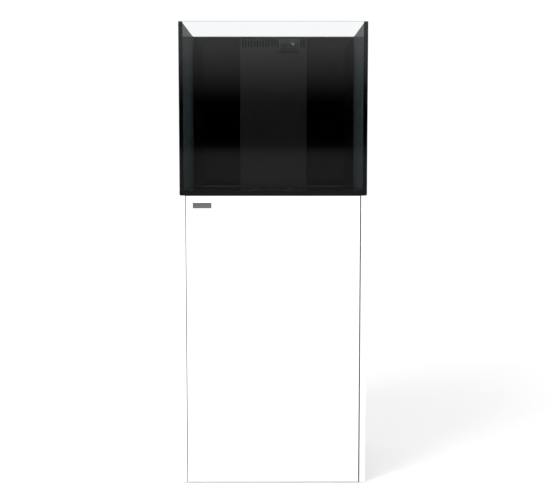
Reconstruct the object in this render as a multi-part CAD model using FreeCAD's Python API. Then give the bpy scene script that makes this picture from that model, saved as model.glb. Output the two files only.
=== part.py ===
# Rimless glass aquarium on a white cabinet, with its overflow, sump and plumbing.
# Millimetres. +Z up, +X to the right of someone facing the door, the door faces -Y.
# Origin: middle of the footprint, on the floor.
import FreeCAD
import Part
import math
import os

Vector = FreeCAD.Vector
X = Vector(1, 0, 0)
Y = Vector(0, 1, 0)
Z = Vector(0, 0, 1)

# Overall sizes
width = 600.0
depth = 500.0
cabinet_height = 941.0
tank_height = 549.0

# Cabinet boards and door
board = 18.0
door_thickness = 18.0
door_gap = 2.5
hinge_side_gap = 4.0
door_top_gap = 1.0
door_bottom_gap = 1.0
door_rear_gap = 2.0
door_edge_radius = 0.8
door_end_radius = 0.4
glide_height = 2.0
glide_width = 14.0
glide_length = 60.0
glide_inset = 12.0
glide_corner = 4.6
rail_height = 50.0
service_width = 240.0
service_height = 200.0
service_drop = 341.0
grommet_radius = 30.0
grommet_wall = 4.0
grommet_flange = 6.0
grommet_flange_thickness = 1.6
grommet_side = 190.0
grommet_z = 480.0
bracket_leg = 18.0
bracket_thickness = 2.0
bracket_width = 30.0
bracket_side = 100.0
stop_radius = 5.0
stop_thickness = 1.6
stop_side = 200.0
badge_width = 60.0
badge_height = 18.0
badge_thickness = 1.2
badge_inset = 21.5
badge_fit = 0.15

# Wood screws
screw_head_radius = 3.5
screw_head_height = 1.6
screw_shank_radius = 1.5
screw_length = 11.0

# Door hinges: one pin in a cup, a goose-neck arm and a plate on the right side
hinge_end = 110.0
hinge_count = 3
hinge_swing_clearance = 2.0
relief = 1.25
cup_radius = 17.5
cup_wall = 1.0
cup_offset = 3.25
cup_flange_width = 20.0
cup_flange_height = 54.0
cup_flange_thickness = 1.2
cup_screw_spread = 22.5
pin_radius = 1.25
pin_fit = 0.05
eye_wall = 1.1
eye_clearance = 0.6
arm_thickness = 2.5
arm_height = 12.0
arm_angle = 140.0
arm_clearance = 2.5
arm_leg = 50.0
plate_thickness = 3.0
plate_height = 44.0
plate_start = 8.0
plate_length = 50.0
plate_screw_spread = 14.0

# Push latch on the left side
latch_size = 20.0
latch_length = 66.0
latch_drop = 89.0
latch_setback = 6.0
latch_wall = 4.0
latch_edge = 2.0
plunger_radius = 4.0
plunger_fit = 0.08
plunger_gap = 0.3
plunger_travel = 3.0
plunger_length = 50.0
plunger_end = 8.0
plunger_end_radius = 5.5
plunger_groove = 0.5
strike_width = 20.0
strike_height = 30.0
strike_thickness = 1.5
spring_wire = 0.8
spring_inset = 1.6
spring_turns = 4
coil_steps = 8

# Tank
glass = 10.0
mat_thickness = 2.0
mat_inset = 3.0
seam = 1.0
bead = 3.0
back_film = 1.0
rim_chamfer = 0.8

# Overflow box, comb and lid
overflow_width = 235.0
overflow_depth = 100.0
overflow_wall = 5.0
overflow_corner = 6.0
corner_run = 12.0
notch_depth = 15.0
comb_below_rim = 17.5
comb_foot = 8.2
comb_lift_gap = 0.3
comb_bar = 3.0
slot_height = 27.0
slot_width = 5.2
slot_pitch = 10.2
slot_margin = 4.0
tongue = 1.5
tongue_depth = 8.0
ledge = 2.0
lid_thickness = 3.0
lid_grip_radius = 9.0

# Pipes and bulkheads
pipe_radius = 12.5
pipe_wall = 2.0
emergency_x = 0.0
drain_spacing = 14.0
return_spacing = 8.0
plumbing_from_back = 58.0
bulkhead_wall = 3.5
bulkhead_rim = 8.0
glass_hole_clearance = 0.5
bulkhead_flange = 6.0
bulkhead_gasket = 2.0
bulkhead_tail = 39.0
bulkhead_nut = 14.0
nut_sides = 6
pipe_insert = 16.0
top_cutout_left = 14.0
top_cutout_right = 20.0
top_cutout_margin = 8.0
drain_below_rim = 90.0
emergency_below_rim = 60.0
strainer_slots = 8
strainer_slot_width = 3.0
strainer_slot_height = 40.0
strainer_top = 8.0

# Return nozzle on its ball
nozzle_below_rim = 41.0
ball_radius = 11.0
ball_fit = 0.05
socket_to_box = 3.0
socket_wall = 2.5
socket_front = 5.0
socket_back = 10.0
neck_radius = 7.0
channel_radius = 4.5
nozzle_width = 73.0
nozzle_height = 40.0
nozzle_drop = 3.0
nozzle_depth = 18.0
nozzle_taper = 12.0
nozzle_reach = 28.0
nozzle_edge = 4.0
nozzle_front_edge = 2.0
nozzle_mouth_width = 56.0
nozzle_mouth_height = 7.0
nozzle_lip = 1.6
nozzle_face = 3.2
nozzle_mouth_depth = 12.0
notch_clearance = 1.5

# Drain valve
valve_drop = 151.0
valve_wall = 7.5
valve_half = 36.0
valve_ball_radius = 13.0
valve_port = 9.0
valve_neck_radius = 12.0
valve_neck = 30.0
stem_radius = 5.0
valve_fit = 0.06
valve_gap = 0.4
knob_radius = 12.0
knob_thickness = 12.0
lever_length = 62.0
lever_width = 10.0
lever_thickness = 6.0
lever_corner = 3.3

# Sump
sump_mat = 3.0
sump_glass = 6.0
sump_side_gap = 20.0
pump_side_room = 28.0
sump_from_front = 140.0
sump_back_gap = 3.0
sump_height = 344.0
baffle_to_pump = 4.0
divider_to_holder = 17.0
baffle_height = 270.0
cup_y_offset = -18.0
filter_radius = 40.0
filter_wall = 2.0
filter_flange = 6.0
filter_flange_thickness = 3.0
filter_depth = 110.0
filter_fit = 0.5
filter_gap = 0.3
filter_holes = 6
filter_hole_radius = 4.0
filter_hole_rise = 28.0
holder_thickness = 4.0
holder_below_rim = 22.0
holder_side = 50.0
holder_clearance = 1.5
drain_end_below_holder = 12.0
emergency_end_below_rim = 125.0

# Return pump
volute_lift = 2.0
pump_foot_height = 6.0
pump_foot_radius = 6.0
pump_foot_inset = 9.0
pump_base = 4.0
pump_base_width = 56.0
pump_pedestal_width = 28.0
motor_radius = 26.0
motor_length = 75.0
volute_radius = 32.0
volute_wall = 4.0
impeller_radius = 20.0
impeller_blades = 6
impeller_blade = 2.0
impeller_hub = 6.0
impeller_gap = 3.0
shaft_radius = 2.0
shaft_length = 26.0
outlet_wall = 3.0
outlet_margin = 0.5
outlet_rise = 20.0
cover_thickness = 4.0
cover_slot = 3.0
cover_slots = 5
cover_slot_pitch = 9.0
cover_slot_height = 32.0

# Top-up reservoir and float valve
reservoir_to_sump = 12.0
reservoir_side_gap = 46.0
reservoir_from_front = 190.0
reservoir_height = 378.0
reservoir_wall = 3.0
reservoir_corner = 9.0
reservoir_lid = 3.0
reservoir_lip = 8.0
lid_gap = 0.3
lid_side_gap = 0.5
float_rise = 219.0
float_from_front = 170.0
float_block = 24.0
float_block_depth = 20.0
float_block_height = 16.0
ear_thickness = 3.0
ear_length = 10.0
ear_height = 8.0
float_pin_radius = 1.5
float_eye_radius = 3.2
float_side_gap = 0.4
float_arm_length = 48.0
float_arm_thickness = 3.0
float_radius = 13.0
float_height = 25.0

# Tolerances and a full turn
parallel = 0.999
touch = 1e-6
full_turn = 360.0

# Places worked out from the sizes
right = width / 2
left = -right
back = depth / 2
front = -back
inner_right = right - board
inner_left = -inner_right
carcass_front = front + door_thickness + door_rear_gap
back_inner = back - board
base_top = glide_height + board
top_under = cabinet_height - board
door_left = inner_left + door_gap
door_right = inner_right - hinge_side_gap
door_low = glide_height + door_bottom_gap
door_high = cabinet_height - door_top_gap
door_back = front + door_thickness
service_middle = cabinet_height - service_drop

swing = hinge_side_gap - hinge_swing_clearance
pivot_inset = ((door_thickness / 2) ** 2 - swing ** 2) / (2 * swing)
swing_radius = pivot_inset + swing
pin_x = door_right - pivot_inset
pin_y = front + door_thickness / 2
cup_x = pin_x - cup_offset
eye_radius = pin_radius + pin_fit + eye_wall
cup_depth = door_thickness / 2 + eye_radius + eye_clearance + cup_wall
hinge_step = (cabinet_height - 2 * hinge_end) / (hinge_count - 1)
hinge_heights = [hinge_end + i * hinge_step for i in range(hinge_count)]

tank_low = cabinet_height + mat_thickness
rim = tank_low + tank_height
tank_floor = tank_low + glass
wall_x = right - glass
front_inner = front + glass
back_pane_back = back - back_film
back_pane_front = back_pane_back - glass
side_front = front_inner + seam
side_back = back_pane_front - seam

box_front = back_pane_front - overflow_depth
box_side = overflow_width / 2
comb_top = rim - comb_below_rim
slot_top = comb_top - comb_bar
slot_low = slot_top - slot_height
comb_low = slot_low - comb_foot
box_top = comb_low - comb_lift_gap
slot_count = int((overflow_width - 2 * slot_margin) / slot_pitch)
side_slot_count = int((overflow_depth - overflow_corner - slot_margin) / slot_pitch)
pipe_y = back_pane_front - plumbing_from_back
pipe_bore = pipe_radius - pipe_wall
bulkhead_radius = pipe_radius + bulkhead_wall
bulkhead_flange_radius = bulkhead_radius + bulkhead_rim
glass_hole_radius = bulkhead_radius + glass_hole_clearance
drain_x = emergency_x - 2 * bulkhead_flange_radius - drain_spacing
return_x = emergency_x + 2 * bulkhead_flange_radius + return_spacing
socket_radius = pipe_radius + socket_wall
valve_radius = pipe_radius + valve_wall
nozzle_z = rim - nozzle_below_rim
ball_y = box_front - socket_to_box - socket_back
notch_half = pipe_radius + notch_clearance

flange_low = tank_floor + bulkhead_gasket
flange_top = flange_low + bulkhead_flange
tail_low = tank_low - bulkhead_tail
upper_pipe_low = flange_top - pipe_insert
lower_pipe_high = tail_low + pipe_insert
valve_z = cabinet_height - valve_drop
cutout_left = drain_x - bulkhead_flange_radius - top_cutout_left
cutout_right = return_x + bulkhead_flange_radius + top_cutout_right
cutout_front = pipe_y - bulkhead_flange_radius - top_cutout_margin
cutout_back = pipe_y + bulkhead_flange_radius + top_cutout_margin

sump_low = base_top + sump_mat
sump_floor = sump_low + sump_glass
sump_top = sump_floor + sump_height
sump_front = front + sump_from_front
sump_back = back_inner - sump_back_gap
sump_left = inner_left + sump_side_gap
sump_right = return_x + pump_base_width / 2 + pump_side_room
baffle_x = return_x - pump_base_width / 2 - baffle_to_pump - sump_glass
divider_x = drain_x - holder_side - divider_to_holder - sump_glass
holder_top = sump_top - holder_below_rim
filter_y = pipe_y + cup_y_offset
drain_end = holder_top - drain_end_below_holder
emergency_end = sump_top - emergency_end_below_rim
reservoir_front = front + reservoir_from_front
reservoir_left = sump_right + reservoir_to_sump
reservoir_right = inner_right - reservoir_side_gap
float_z = sump_floor + float_rise
float_y = sump_front + float_from_front
reservoir_top = base_top + reservoir_height
volute_length = 2 * (pipe_radius + outlet_wall + outlet_margin)
volute_front = pipe_y - volute_length / 2
volute_back = pipe_y + volute_length / 2
motor_front = volute_front - motor_length
pump_floor = sump_floor + pump_foot_height
pump_z = pump_floor + pump_base + volute_lift + volute_radius
outlet_height = volute_radius + outlet_rise


def box(x0, x1, y0, y1, z0, z1):
    """A block between two corners."""
    return Part.makeBox(x1 - x0, y1 - y0, z1 - z0, Vector(x0, y0, z0))


def rod(radius, length, start, axis):
    """A round bar from a point along an axis."""
    return Part.makeCylinder(radius, length, start, axis)


def tube(outer, inner, length, start, axis):
    """A round pipe from a point along an axis."""
    return rod(outer, length, start, axis).cut(rod(inner, length, start, axis))


def ball(radius, centre):
    """A ball about a point."""
    return Part.makeSphere(radius, centre)


def joined(shapes):
    """One solid from touching or overlapping shapes."""
    whole = shapes[0]
    for shape in shapes[1:]:
        whole = whole.fuse(shape)
    return whole.removeSplitter()


def rounded(shape, radius, along):
    """Rounds the edges that run along one axis."""
    edges = []
    for edge in shape.Edges:
        run = edge.Vertexes[-1].Point - edge.Vertexes[0].Point
        if run.Length > 0 and abs(run.normalize().dot(along)) > parallel:
            edges.append(edge)
    return shape.makeFillet(radius, edges)


def strip(points, thickness, low, high):
    """A bent strip standing on its edge, thick about a line of points seen from above."""
    pieces = []
    for (x0, y0), (x1, y1) in zip(points, points[1:]):
        run = math.hypot(x1 - x0, y1 - y0)
        piece = box(0, run, -thickness / 2, thickness / 2, low, high)
        piece.rotate(Vector(0, 0, 0), Z, math.degrees(math.atan2(y1 - y0, x1 - x0)))
        piece.translate(Vector(x0, y0, 0))
        pieces.append(piece)
    for x, y in points[1:-1]:
        pieces.append(rod(thickness / 2, high - low, Vector(x, y, low), Z))
    return joined(pieces)


def prism(corners, low, high):
    """An upright prism over corners seen from above."""
    points = [Vector(x, y, low) for x, y in corners]
    face = Part.Face(Part.makePolygon(points + points[:1]))
    return face.extrude(Vector(0, 0, high - low))


def screw(seat, axis):
    """A wood screw: its head stands off the seat against the axis, its shank runs along it."""
    head = rod(screw_head_radius, screw_head_height, seat, axis * -1)
    shank = rod(screw_shank_radius, screw_length, seat, axis)
    return head.fuse(shank).removeSplitter()


def without(shape, tools):
    """The shape with holes for other pieces."""
    return shape.cut(Part.makeCompound(tools)) if tools else shape


def save(name, shape):
    """Writes one piece, or a group of like pieces, to its own file."""
    if isinstance(shape, list):
        shape = Part.makeCompound(shape)
    if not shape.isValid():
        raise ValueError(name + " is not a valid shape")
    shape.exportStep("parts/" + name + ".step")


def hinge_cups():
    """The cups in the door, each with its flange."""
    cups = []
    for z in hinge_heights:
        middle = Vector(cup_x, door_back, z)
        floor = Vector(cup_x, door_back - cup_depth, z)
        flange = box(cup_x - cup_flange_width / 2, cup_x + cup_flange_width / 2,
                     door_back, door_back + cup_flange_thickness,
                     z - cup_flange_height / 2, z + cup_flange_height / 2)
        cup = joined([rod(cup_radius, cup_depth, floor, Y), flange,
                      rod(cup_radius, cup_flange_thickness, middle, Y)])
        hollow = Vector(cup_x, door_back - cup_depth + cup_wall, z)
        cup = cup.cut(rod(cup_radius - cup_wall, cup_depth + board, hollow, Y))
        cups.append(cup)
    return cups


def hinge_pins():
    """The pins across the cups, on the door's turning axis."""
    reach = math.sqrt((cup_radius - cup_wall / 2) ** 2 - (pin_x - cup_x) ** 2)
    return [rod(pin_radius, 2 * reach, Vector(pin_x, pin_y, z - reach), Z) for z in hinge_heights]


def cup_screws():
    """The screws that hold the cups' flanges on the door."""
    seat = door_back + cup_flange_thickness
    return [screw(Vector(cup_x, seat, z + side * cup_screw_spread), Y * -1)
            for z in hinge_heights for side in (-1, 1)]


def plate_y():
    """Where the hinge plates start."""
    return pin_y + swing_radius + arm_clearance + arm_thickness / 2 + plate_start


def hinge_arms():
    """Goose-neck arms: out of the cup, round the door's edge and back along the side."""
    run_y = pin_y + swing_radius + arm_clearance + arm_thickness / 2
    knee_x = pin_x + (run_y - pin_y) / math.tan(math.radians(arm_angle))
    leg_x = inner_right - plate_thickness - arm_thickness / 2
    line = [(pin_x, pin_y), (knee_x, run_y), (leg_x, run_y), (leg_x, run_y + arm_leg)]
    arms = []
    for z in hinge_heights:
        low = z - arm_height / 2
        high = z + arm_height / 2
        eye = rod(eye_radius, arm_height, Vector(pin_x, pin_y, low), Z)
        bore = rod(pin_radius + pin_fit, arm_height, Vector(pin_x, pin_y, low), Z)
        arms.append(joined([strip(line, arm_thickness, low, high), eye]).cut(bore))
    return arms


def hinge_plates():
    """The plates on the right side that carry the arms."""
    y = plate_y()
    return [box(inner_right - plate_thickness, inner_right, y, y + plate_length,
                z - plate_height / 2, z + plate_height / 2) for z in hinge_heights]


def plate_screws():
    """The screws that hold the plates on the right side."""
    y = plate_y() + plate_length / 2
    seat = inner_right - plate_thickness
    return [screw(Vector(seat, y, z + side * plate_screw_spread), X)
            for z in hinge_heights for side in (-1, 1)]


def bracket_places():
    """Corner of each angle bracket: side, depth and height, and which way its legs run."""
    places = []
    for side in (-1, 1):
        for y in (-bracket_side, bracket_side):
            places.append((side, y, top_under, -1))
            places.append((side, y, base_top, 1))
    return places


def brackets():
    """Steel angles that join the top and base boards to the sides."""
    shapes = []
    for side, y, z, up in bracket_places():
        corner = side * inner_right
        far = corner - side * bracket_leg
        near = corner - side * bracket_thickness
        y0 = y - bracket_width / 2
        y1 = y + bracket_width / 2
        end = z + up * bracket_leg
        skin = z + up * bracket_thickness
        flat = box(min(corner, far), max(corner, far), y0, y1, min(z, skin), max(z, skin))
        tall = box(min(corner, near), max(corner, near), y0, y1, min(z, end), max(z, end))
        shapes.append(joined([flat, tall]))
    return shapes


def bracket_screws():
    """One screw into the side and one into the board for each angle."""
    screws = []
    for side, y, z, up in bracket_places():
        middle = (bracket_leg + bracket_thickness) / 2 + bracket_thickness / 2
        into_side = Vector(side * (inner_right - bracket_thickness), y, z + up * middle)
        screws.append(screw(into_side, X * side))
        into_board = Vector(side * (inner_right - middle), y, z + up * bracket_thickness)
        screws.append(screw(into_board, Z * -up))
    return screws


def latch_axis():
    """The latch plunger's line: x and z."""
    return inner_left + latch_size / 2, cabinet_height - latch_drop


def spring(coil_radius, length, start):
    """A coil of round wire about a line along +Y."""
    steps = spring_turns * coil_steps
    points = []
    for i in range(steps + 1):
        turn = 2 * math.pi * i / coil_steps
        across = Vector(coil_radius * math.cos(turn), 0, coil_radius * math.sin(turn))
        points.append(start + across + Y * (length * i / steps))
    line = Part.BSplineCurve()
    line.interpolate(points)
    along = line.tangent(line.FirstParameter)[0]
    section = Part.Wire(Part.makeCircle(spring_wire / 2, points[0], along))
    return Part.Wire([line.toShape()]).makePipeShell([section], True, False)


def latch():
    """The push latch: body, plunger and the spring behind it."""
    x, z = latch_axis()
    half = latch_size / 2
    body_front = carcass_front + latch_setback
    body_back = body_front + latch_length
    tip = door_back + strike_thickness + plunger_gap
    tail = tip + plunger_length
    end_y = tail - plunger_end
    body = box(inner_left, inner_left + latch_size, body_front, body_back, z - half, z + half)
    body = rounded(body, latch_edge, Y)
    room_front = end_y - plunger_groove
    neck_bore = rod(plunger_radius + plunger_fit, room_front - body_front, Vector(x, body_front, z), Y)
    room_length = body_back - latch_wall - room_front
    room = rod(plunger_end_radius + plunger_fit, room_length, Vector(x, room_front, z), Y)
    body = body.cut(neck_bore).cut(room)
    plunger = joined([rod(plunger_radius, plunger_length, Vector(x, tip, z), Y),
                      rod(plunger_end_radius, plunger_end, Vector(x, end_y, z), Y)])
    coil_start = tail + plunger_travel + plunger_groove
    coil_length = body_back - latch_wall - coil_start - spring_wire
    coil_radius = plunger_end_radius - spring_inset
    coil = spring(coil_radius, coil_length, Vector(x, coil_start + spring_wire / 2, z))
    return body, plunger, coil


def glides():
    """Two pads under each side board."""
    pads = []
    for side in (-1, 1):
        x = side * (right - board / 2)
        for y in (front + glide_inset, back - glide_inset - glide_length):
            pad = box(x - glide_width / 2, x + glide_width / 2, y, y + glide_length, 0, glide_height)
            pads.append(rounded(pad, glide_corner, Z))
    return pads


def cabinet():
    """Boards, door and all that is screwed to them."""
    cups = hinge_cups()
    pins = hinge_pins()
    screws_in_door = cup_screws()
    screws_in_side = plate_screws()
    angle_screws = bracket_screws()
    body, plunger, coil = latch()
    latch_x, latch_z = latch_axis()

    left_side = box(left, inner_left, front, back, glide_height, cabinet_height)
    right_side = box(inner_right, right, front, back, glide_height, cabinet_height)
    left_side = rounded(left_side, door_edge_radius, Z)
    right_side = rounded(right_side, door_edge_radius, Z)
    save("cabinet_left_side", without(left_side, angle_screws))
    save("cabinet_right_side", without(right_side, angle_screws + screws_in_side))

    corner = box(pin_x - swing_radius - relief, right, front, pin_y + swing_radius + relief,
                 0, cabinet_height)
    base = box(inner_left, inner_right, carcass_front, back_inner, glide_height, base_top).cut(corner)
    save("cabinet_base", without(base, angle_screws))
    cutout = box(cutout_left, cutout_right, cutout_front, cutout_back, top_under, cabinet_height)
    top = box(inner_left, inner_right, carcass_front, back, top_under, cabinet_height)
    save("cabinet_top", without(top, [corner, cutout] + angle_screws))

    back_board = box(inner_left, inner_right, back_inner, back, glide_height, top_under)
    service = box(-service_width / 2, service_width / 2, back_inner, back,
                  service_middle - service_height / 2, service_middle + service_height / 2)
    back_board = back_board.cut(service)
    grommets = []
    for side in (-1, 1):
        start = Vector(side * grommet_side, back_inner, grommet_z)
        back_board = back_board.cut(rod(grommet_radius, board, start, Y))
        lip = tube(grommet_radius + grommet_flange, grommet_radius - grommet_wall,
                   grommet_flange_thickness, start - Y * grommet_flange_thickness, Y)
        sleeve = tube(grommet_radius, grommet_radius - grommet_wall, board, start, Y)
        grommets.append(joined([lip, sleeve]))
    save("cabinet_back", back_board)
    save("cable_grommets", grommets)
    rail_front = carcass_front + board
    save("front_top_rail", box(inner_left, inner_right, rail_front, rail_front + board,
                               top_under - rail_height, top_under))
    save("glides", glides())
    save("angle_brackets", [without(one, angle_screws) for one in brackets()])
    save("bracket_screws", angle_screws)
    stops = [rod(stop_radius, stop_thickness, Vector(side * stop_side, carcass_front - stop_thickness,
                                                     glide_height + board / 2), Y) for side in (-1, 1)]
    save("door_stops", stops)

    save("hinge_plates", [without(one, screws_in_side) for one in hinge_plates()])
    save("hinge_arms", hinge_arms())
    save("hinge_screws", screws_in_side)
    save("latch_body", body)
    save("latch_spring", coil)
    save("latch_plunger", plunger)

    badge_left = door_left + badge_inset
    badge_high = door_high - badge_inset
    badge = box(badge_left, badge_left + badge_width, front, front + badge_thickness,
                badge_high - badge_height, badge_high)
    pocket = box(badge_left - badge_fit, badge_left + badge_width + badge_fit, front - badge_fit,
                 front + badge_thickness, badge_high - badge_height - badge_fit, badge_high + badge_fit)
    door = box(door_left, door_right, front, door_back, door_low, door_high)
    door = rounded(rounded(door, door_edge_radius, Z), door_end_radius, X).cut(pocket)
    bores = [rod(cup_radius, cup_depth, Vector(cup_x, door_back - cup_depth, z), Y) for z in hinge_heights]
    save("door", without(door, bores + screws_in_door))
    save("door_badge", badge)
    save("hinge_cups", [without(cup, pins + screws_in_door) for cup in cups])
    save("hinge_pins", pins)
    save("cup_screws", screws_in_door)
    strike_x = latch_x + door_gap
    save("strike_plate", box(strike_x - strike_width / 2, strike_x + strike_width / 2,
                             door_back, door_back + strike_thickness,
                             latch_z - strike_height / 2, latch_z + strike_height / 2))


def pane(x0, x1, y0, y1, z0, z1):
    """A pane with its top edges polished off."""
    sheet = box(x0, x1, y0, y1, z0, z1)
    edges = [e for e in sheet.Edges if min(v.Z for v in e.Vertexes) > z1 - touch]
    return sheet.makeChamfer(rim_chamfer, edges)


def seams():
    """Black silicone: a thin layer in every joint, with a bead along the inside."""
    parts = []
    for side in (-1, 1):
        for y0, y1, bead_y, inward in ((front_inner, side_front, front_inner, 1),
                                       (side_back, back_pane_front, back_pane_front, -1)):
            edge = side * wall_x
            x0, x1 = sorted((edge, side * right))
            parts.append(box(x0, x1, y0, y1, tank_low, rim - rim_chamfer))
            corners = [(edge, bead_y), (edge - side * bead, bead_y), (edge, bead_y + inward * bead)]
            parts.append(prism(corners, tank_floor, rim - rim_chamfer))
    outer = box(-wall_x, wall_x, front_inner, back_pane_front, tank_low, tank_floor)
    inner = box(-wall_x + seam, wall_x - seam, side_front, side_back, tank_low, tank_floor)
    parts.append(outer.cut(inner))
    high = tank_floor + bead
    rise = box(-wall_x, wall_x, front_inner, back_pane_front, tank_floor, high)
    outlines = []
    for z, lean in ((tank_floor, bead), (high, 0.0)):
        side = wall_x - lean
        near = front_inner + lean
        far = back_pane_front - lean
        corners = [Vector(x, y, z) for x, y in ((-side, near), (side, near), (side, far), (-side, far))]
        outlines.append(Part.makePolygon(corners + corners[:1]))
    hollow = Part.makeLoft(outlines, True, True)
    foot = box(-box_side, box_side, box_front, back_pane_front, tank_floor, high)
    parts.append(rise.cut(hollow).cut(foot))
    return joined(parts)


def tank():
    """The glass tank on its mat."""
    holes = [rod(glass_hole_radius, glass, Vector(x, pipe_y, tank_low), Z)
             for x in (drain_x, emergency_x, return_x)]
    mat = box(left + mat_inset, right - mat_inset, front + mat_inset, back - mat_inset,
              cabinet_height, tank_low)
    cutout = box(cutout_left, cutout_right, cutout_front, cutout_back, cabinet_height, tank_low)
    save("levelling_mat", mat.cut(cutout))
    floor = box(-wall_x + seam, wall_x - seam, side_front, side_back, tank_low, tank_floor)
    save("tank_bottom_pane", without(floor, holes))
    save("tank_front_pane", pane(left, right, front, front_inner, tank_low, rim))
    save("tank_back_pane", pane(left, right, back_pane_front, back_pane_back, tank_low, rim))
    save("tank_left_pane", pane(left, -wall_x, side_front, side_back, tank_low, rim))
    save("tank_right_pane", pane(wall_x, right, side_front, side_back, tank_low, rim))
    save("silicone_seams", seams())
    save("tank_back_film", box(left, right, back_pane_back, back, tank_low, rim - rim_chamfer))


def box_walls(low, high, outer_side, outer_front, back_end, wall):
    """A front wall and two side walls, round at the front corners."""
    block = box(-outer_side, outer_side, outer_front, back_end + corner_run, low, high)
    block = rounded(block, overflow_corner, Z)
    inner = box(-outer_side + wall, outer_side - wall, outer_front + wall, back_end + corner_run, low, high)
    beyond = box(-outer_side, outer_side, back_end, back_end + corner_run, low, high)
    return block.cut(inner).cut(beyond)


def comb_notch():
    """The gap in the comb, open below, that the return pipe passes through."""
    low = comb_low - tongue_depth
    start = box_front - overflow_wall
    end = box_front + notch_depth
    return joined([box(return_x - notch_half, return_x + notch_half, start, end, low, nozzle_z),
                   rod(notch_half, end - start, Vector(return_x, start, nozzle_z), Y)])


def overflow():
    """Overflow box on the back pane, its lift-off comb and the lid on the comb's ledges."""
    walls = box_walls(tank_floor, box_top, box_side, box_front, back_pane_front, overflow_wall)
    notch = comb_notch()
    save("overflow_box", walls.cut(notch))

    comb_back = back_pane_front - comb_lift_gap
    comb = box_walls(comb_low, comb_top, box_side, box_front, comb_back, overflow_wall)
    inside = overflow_wall + comb_lift_gap
    lip_low = comb_low - tongue_depth
    lip_high = comb_low + tongue
    lip = box_walls(lip_low, lip_high, box_side - inside, box_front + inside, comb_back, tongue)
    lip = lip.fuse(box_walls(comb_low, lip_high, box_side - tongue, box_front + tongue, comb_back, inside))
    shelf_top = comb_top - lid_thickness - comb_lift_gap
    shelf = box_walls(shelf_top - ledge, shelf_top, box_side - tongue, box_front + tongue, comb_back,
                      overflow_wall - tongue + ledge)
    slots = []
    for i in range(slot_count):
        x = (i - (slot_count - 1) / 2) * slot_pitch
        if abs(x - return_x) > notch_half + slot_width:
            slots.append(box(x - slot_width / 2, x + slot_width / 2, box_front, box_front + overflow_wall,
                             slot_low, slot_top))
    for i in range(side_slot_count):
        y = box_front + overflow_corner + (i + 1) * slot_pitch
        for side in (-1, 1):
            x0, x1 = sorted((side * box_side, side * (box_side - overflow_wall)))
            slots.append(box(x0, x1, y - slot_width / 2, y + slot_width / 2, slot_low, slot_top))
    comb = without(comb, slots)
    save("overflow_comb", joined([comb, lip, shelf]).cut(notch))

    rest = overflow_wall + comb_lift_gap
    lid = box(-box_side + rest, box_side - rest, box_front + rest, comb_back - comb_lift_gap,
              comb_top - lid_thickness, comb_top)
    grip = rod(lid_grip_radius, lid_thickness, Vector(drain_x, pipe_y, comb_top - lid_thickness), Z)
    save("overflow_lid", lid.cut(grip))


def upper_pipe(x, high):
    """A pipe that stands in a bulkhead."""
    return tube(pipe_radius, pipe_bore, high - upper_pipe_low, Vector(x, pipe_y, upper_pipe_low), Z)


def plumbing():
    """Bulkheads, standpipes, the return riser and the pipes below the tank."""
    bodies = []
    nuts = []
    gaskets = []
    for x in (drain_x, emergency_x, return_x):
        tail = rod(bulkhead_radius, flange_top - tail_low, Vector(x, pipe_y, tail_low), Z)
        flange = rod(bulkhead_flange_radius, bulkhead_flange, Vector(x, pipe_y, flange_low), Z)
        body = joined([tail, flange])
        body = body.cut(rod(pipe_bore, flange_top - tail_low, Vector(x, pipe_y, tail_low), Z))
        body = body.cut(rod(pipe_radius, pipe_insert, Vector(x, pipe_y, upper_pipe_low), Z))
        body = body.cut(rod(pipe_radius, pipe_insert, Vector(x, pipe_y, tail_low), Z))
        bodies.append(body)
        corners = []
        for i in range(nut_sides):
            turn = 2 * math.pi * i / nut_sides
            corners.append((x + bulkhead_flange_radius * math.cos(turn),
                            pipe_y + bulkhead_flange_radius * math.sin(turn)))
        nut_low = tank_low - bulkhead_nut
        nut = prism(corners, nut_low, tank_low)
        nuts.append(nut.cut(rod(bulkhead_radius, bulkhead_nut, Vector(x, pipe_y, nut_low), Z)))
        gaskets.append(tube(bulkhead_flange_radius, bulkhead_radius, bulkhead_gasket,
                            Vector(x, pipe_y, tank_floor), Z))
    save("bulkheads", bodies)
    save("bulkhead_nuts", nuts)
    save("bulkhead_gaskets", gaskets)

    drain = upper_pipe(drain_x, rim - drain_below_rim)
    for i in range(strainer_slots):
        cut = box(0, 2 * pipe_radius, -strainer_slot_width / 2, strainer_slot_width / 2,
                  0, strainer_slot_height)
        cut.rotate(Vector(0, 0, 0), Z, full_turn / strainer_slots * i)
        cut.translate(Vector(drain_x, pipe_y, rim - drain_below_rim - strainer_top - strainer_slot_height))
        drain = drain.cut(cut)
    save("drain_standpipe", drain)
    save("emergency_standpipe", upper_pipe(emergency_x, rim - emergency_below_rim))

    turn = Vector(return_x, pipe_y, nozzle_z)
    run = pipe_y - (ball_y + socket_back)
    solid = joined([rod(pipe_radius, nozzle_z - upper_pipe_low, Vector(return_x, pipe_y, upper_pipe_low), Z),
                    ball(pipe_radius, turn), rod(pipe_radius, run, turn, Y * -1)])
    hollow = joined([rod(pipe_bore, nozzle_z - upper_pipe_low, Vector(return_x, pipe_y, upper_pipe_low), Z),
                     ball(pipe_bore, turn), rod(pipe_bore, run, turn, Y * -1)])
    save("return_riser", solid.cut(hollow))

    save("drain_pipes", [
        tube(pipe_radius, pipe_bore, lower_pipe_high - (valve_z + valve_half - pipe_insert),
             Vector(drain_x, pipe_y, valve_z + valve_half - pipe_insert), Z),
        tube(pipe_radius, pipe_bore, valve_z - valve_half + pipe_insert - drain_end,
             Vector(drain_x, pipe_y, drain_end), Z)])
    save("emergency_pipe", tube(pipe_radius, pipe_bore, lower_pipe_high - emergency_end,
                                Vector(emergency_x, pipe_y, emergency_end), Z))
    outlet_top = pump_z + outlet_height
    save("return_pipe", tube(pipe_radius, pipe_bore, lower_pipe_high - (outlet_top - pipe_insert),
                             Vector(return_x, pipe_y, outlet_top - pipe_insert), Z))


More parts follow.
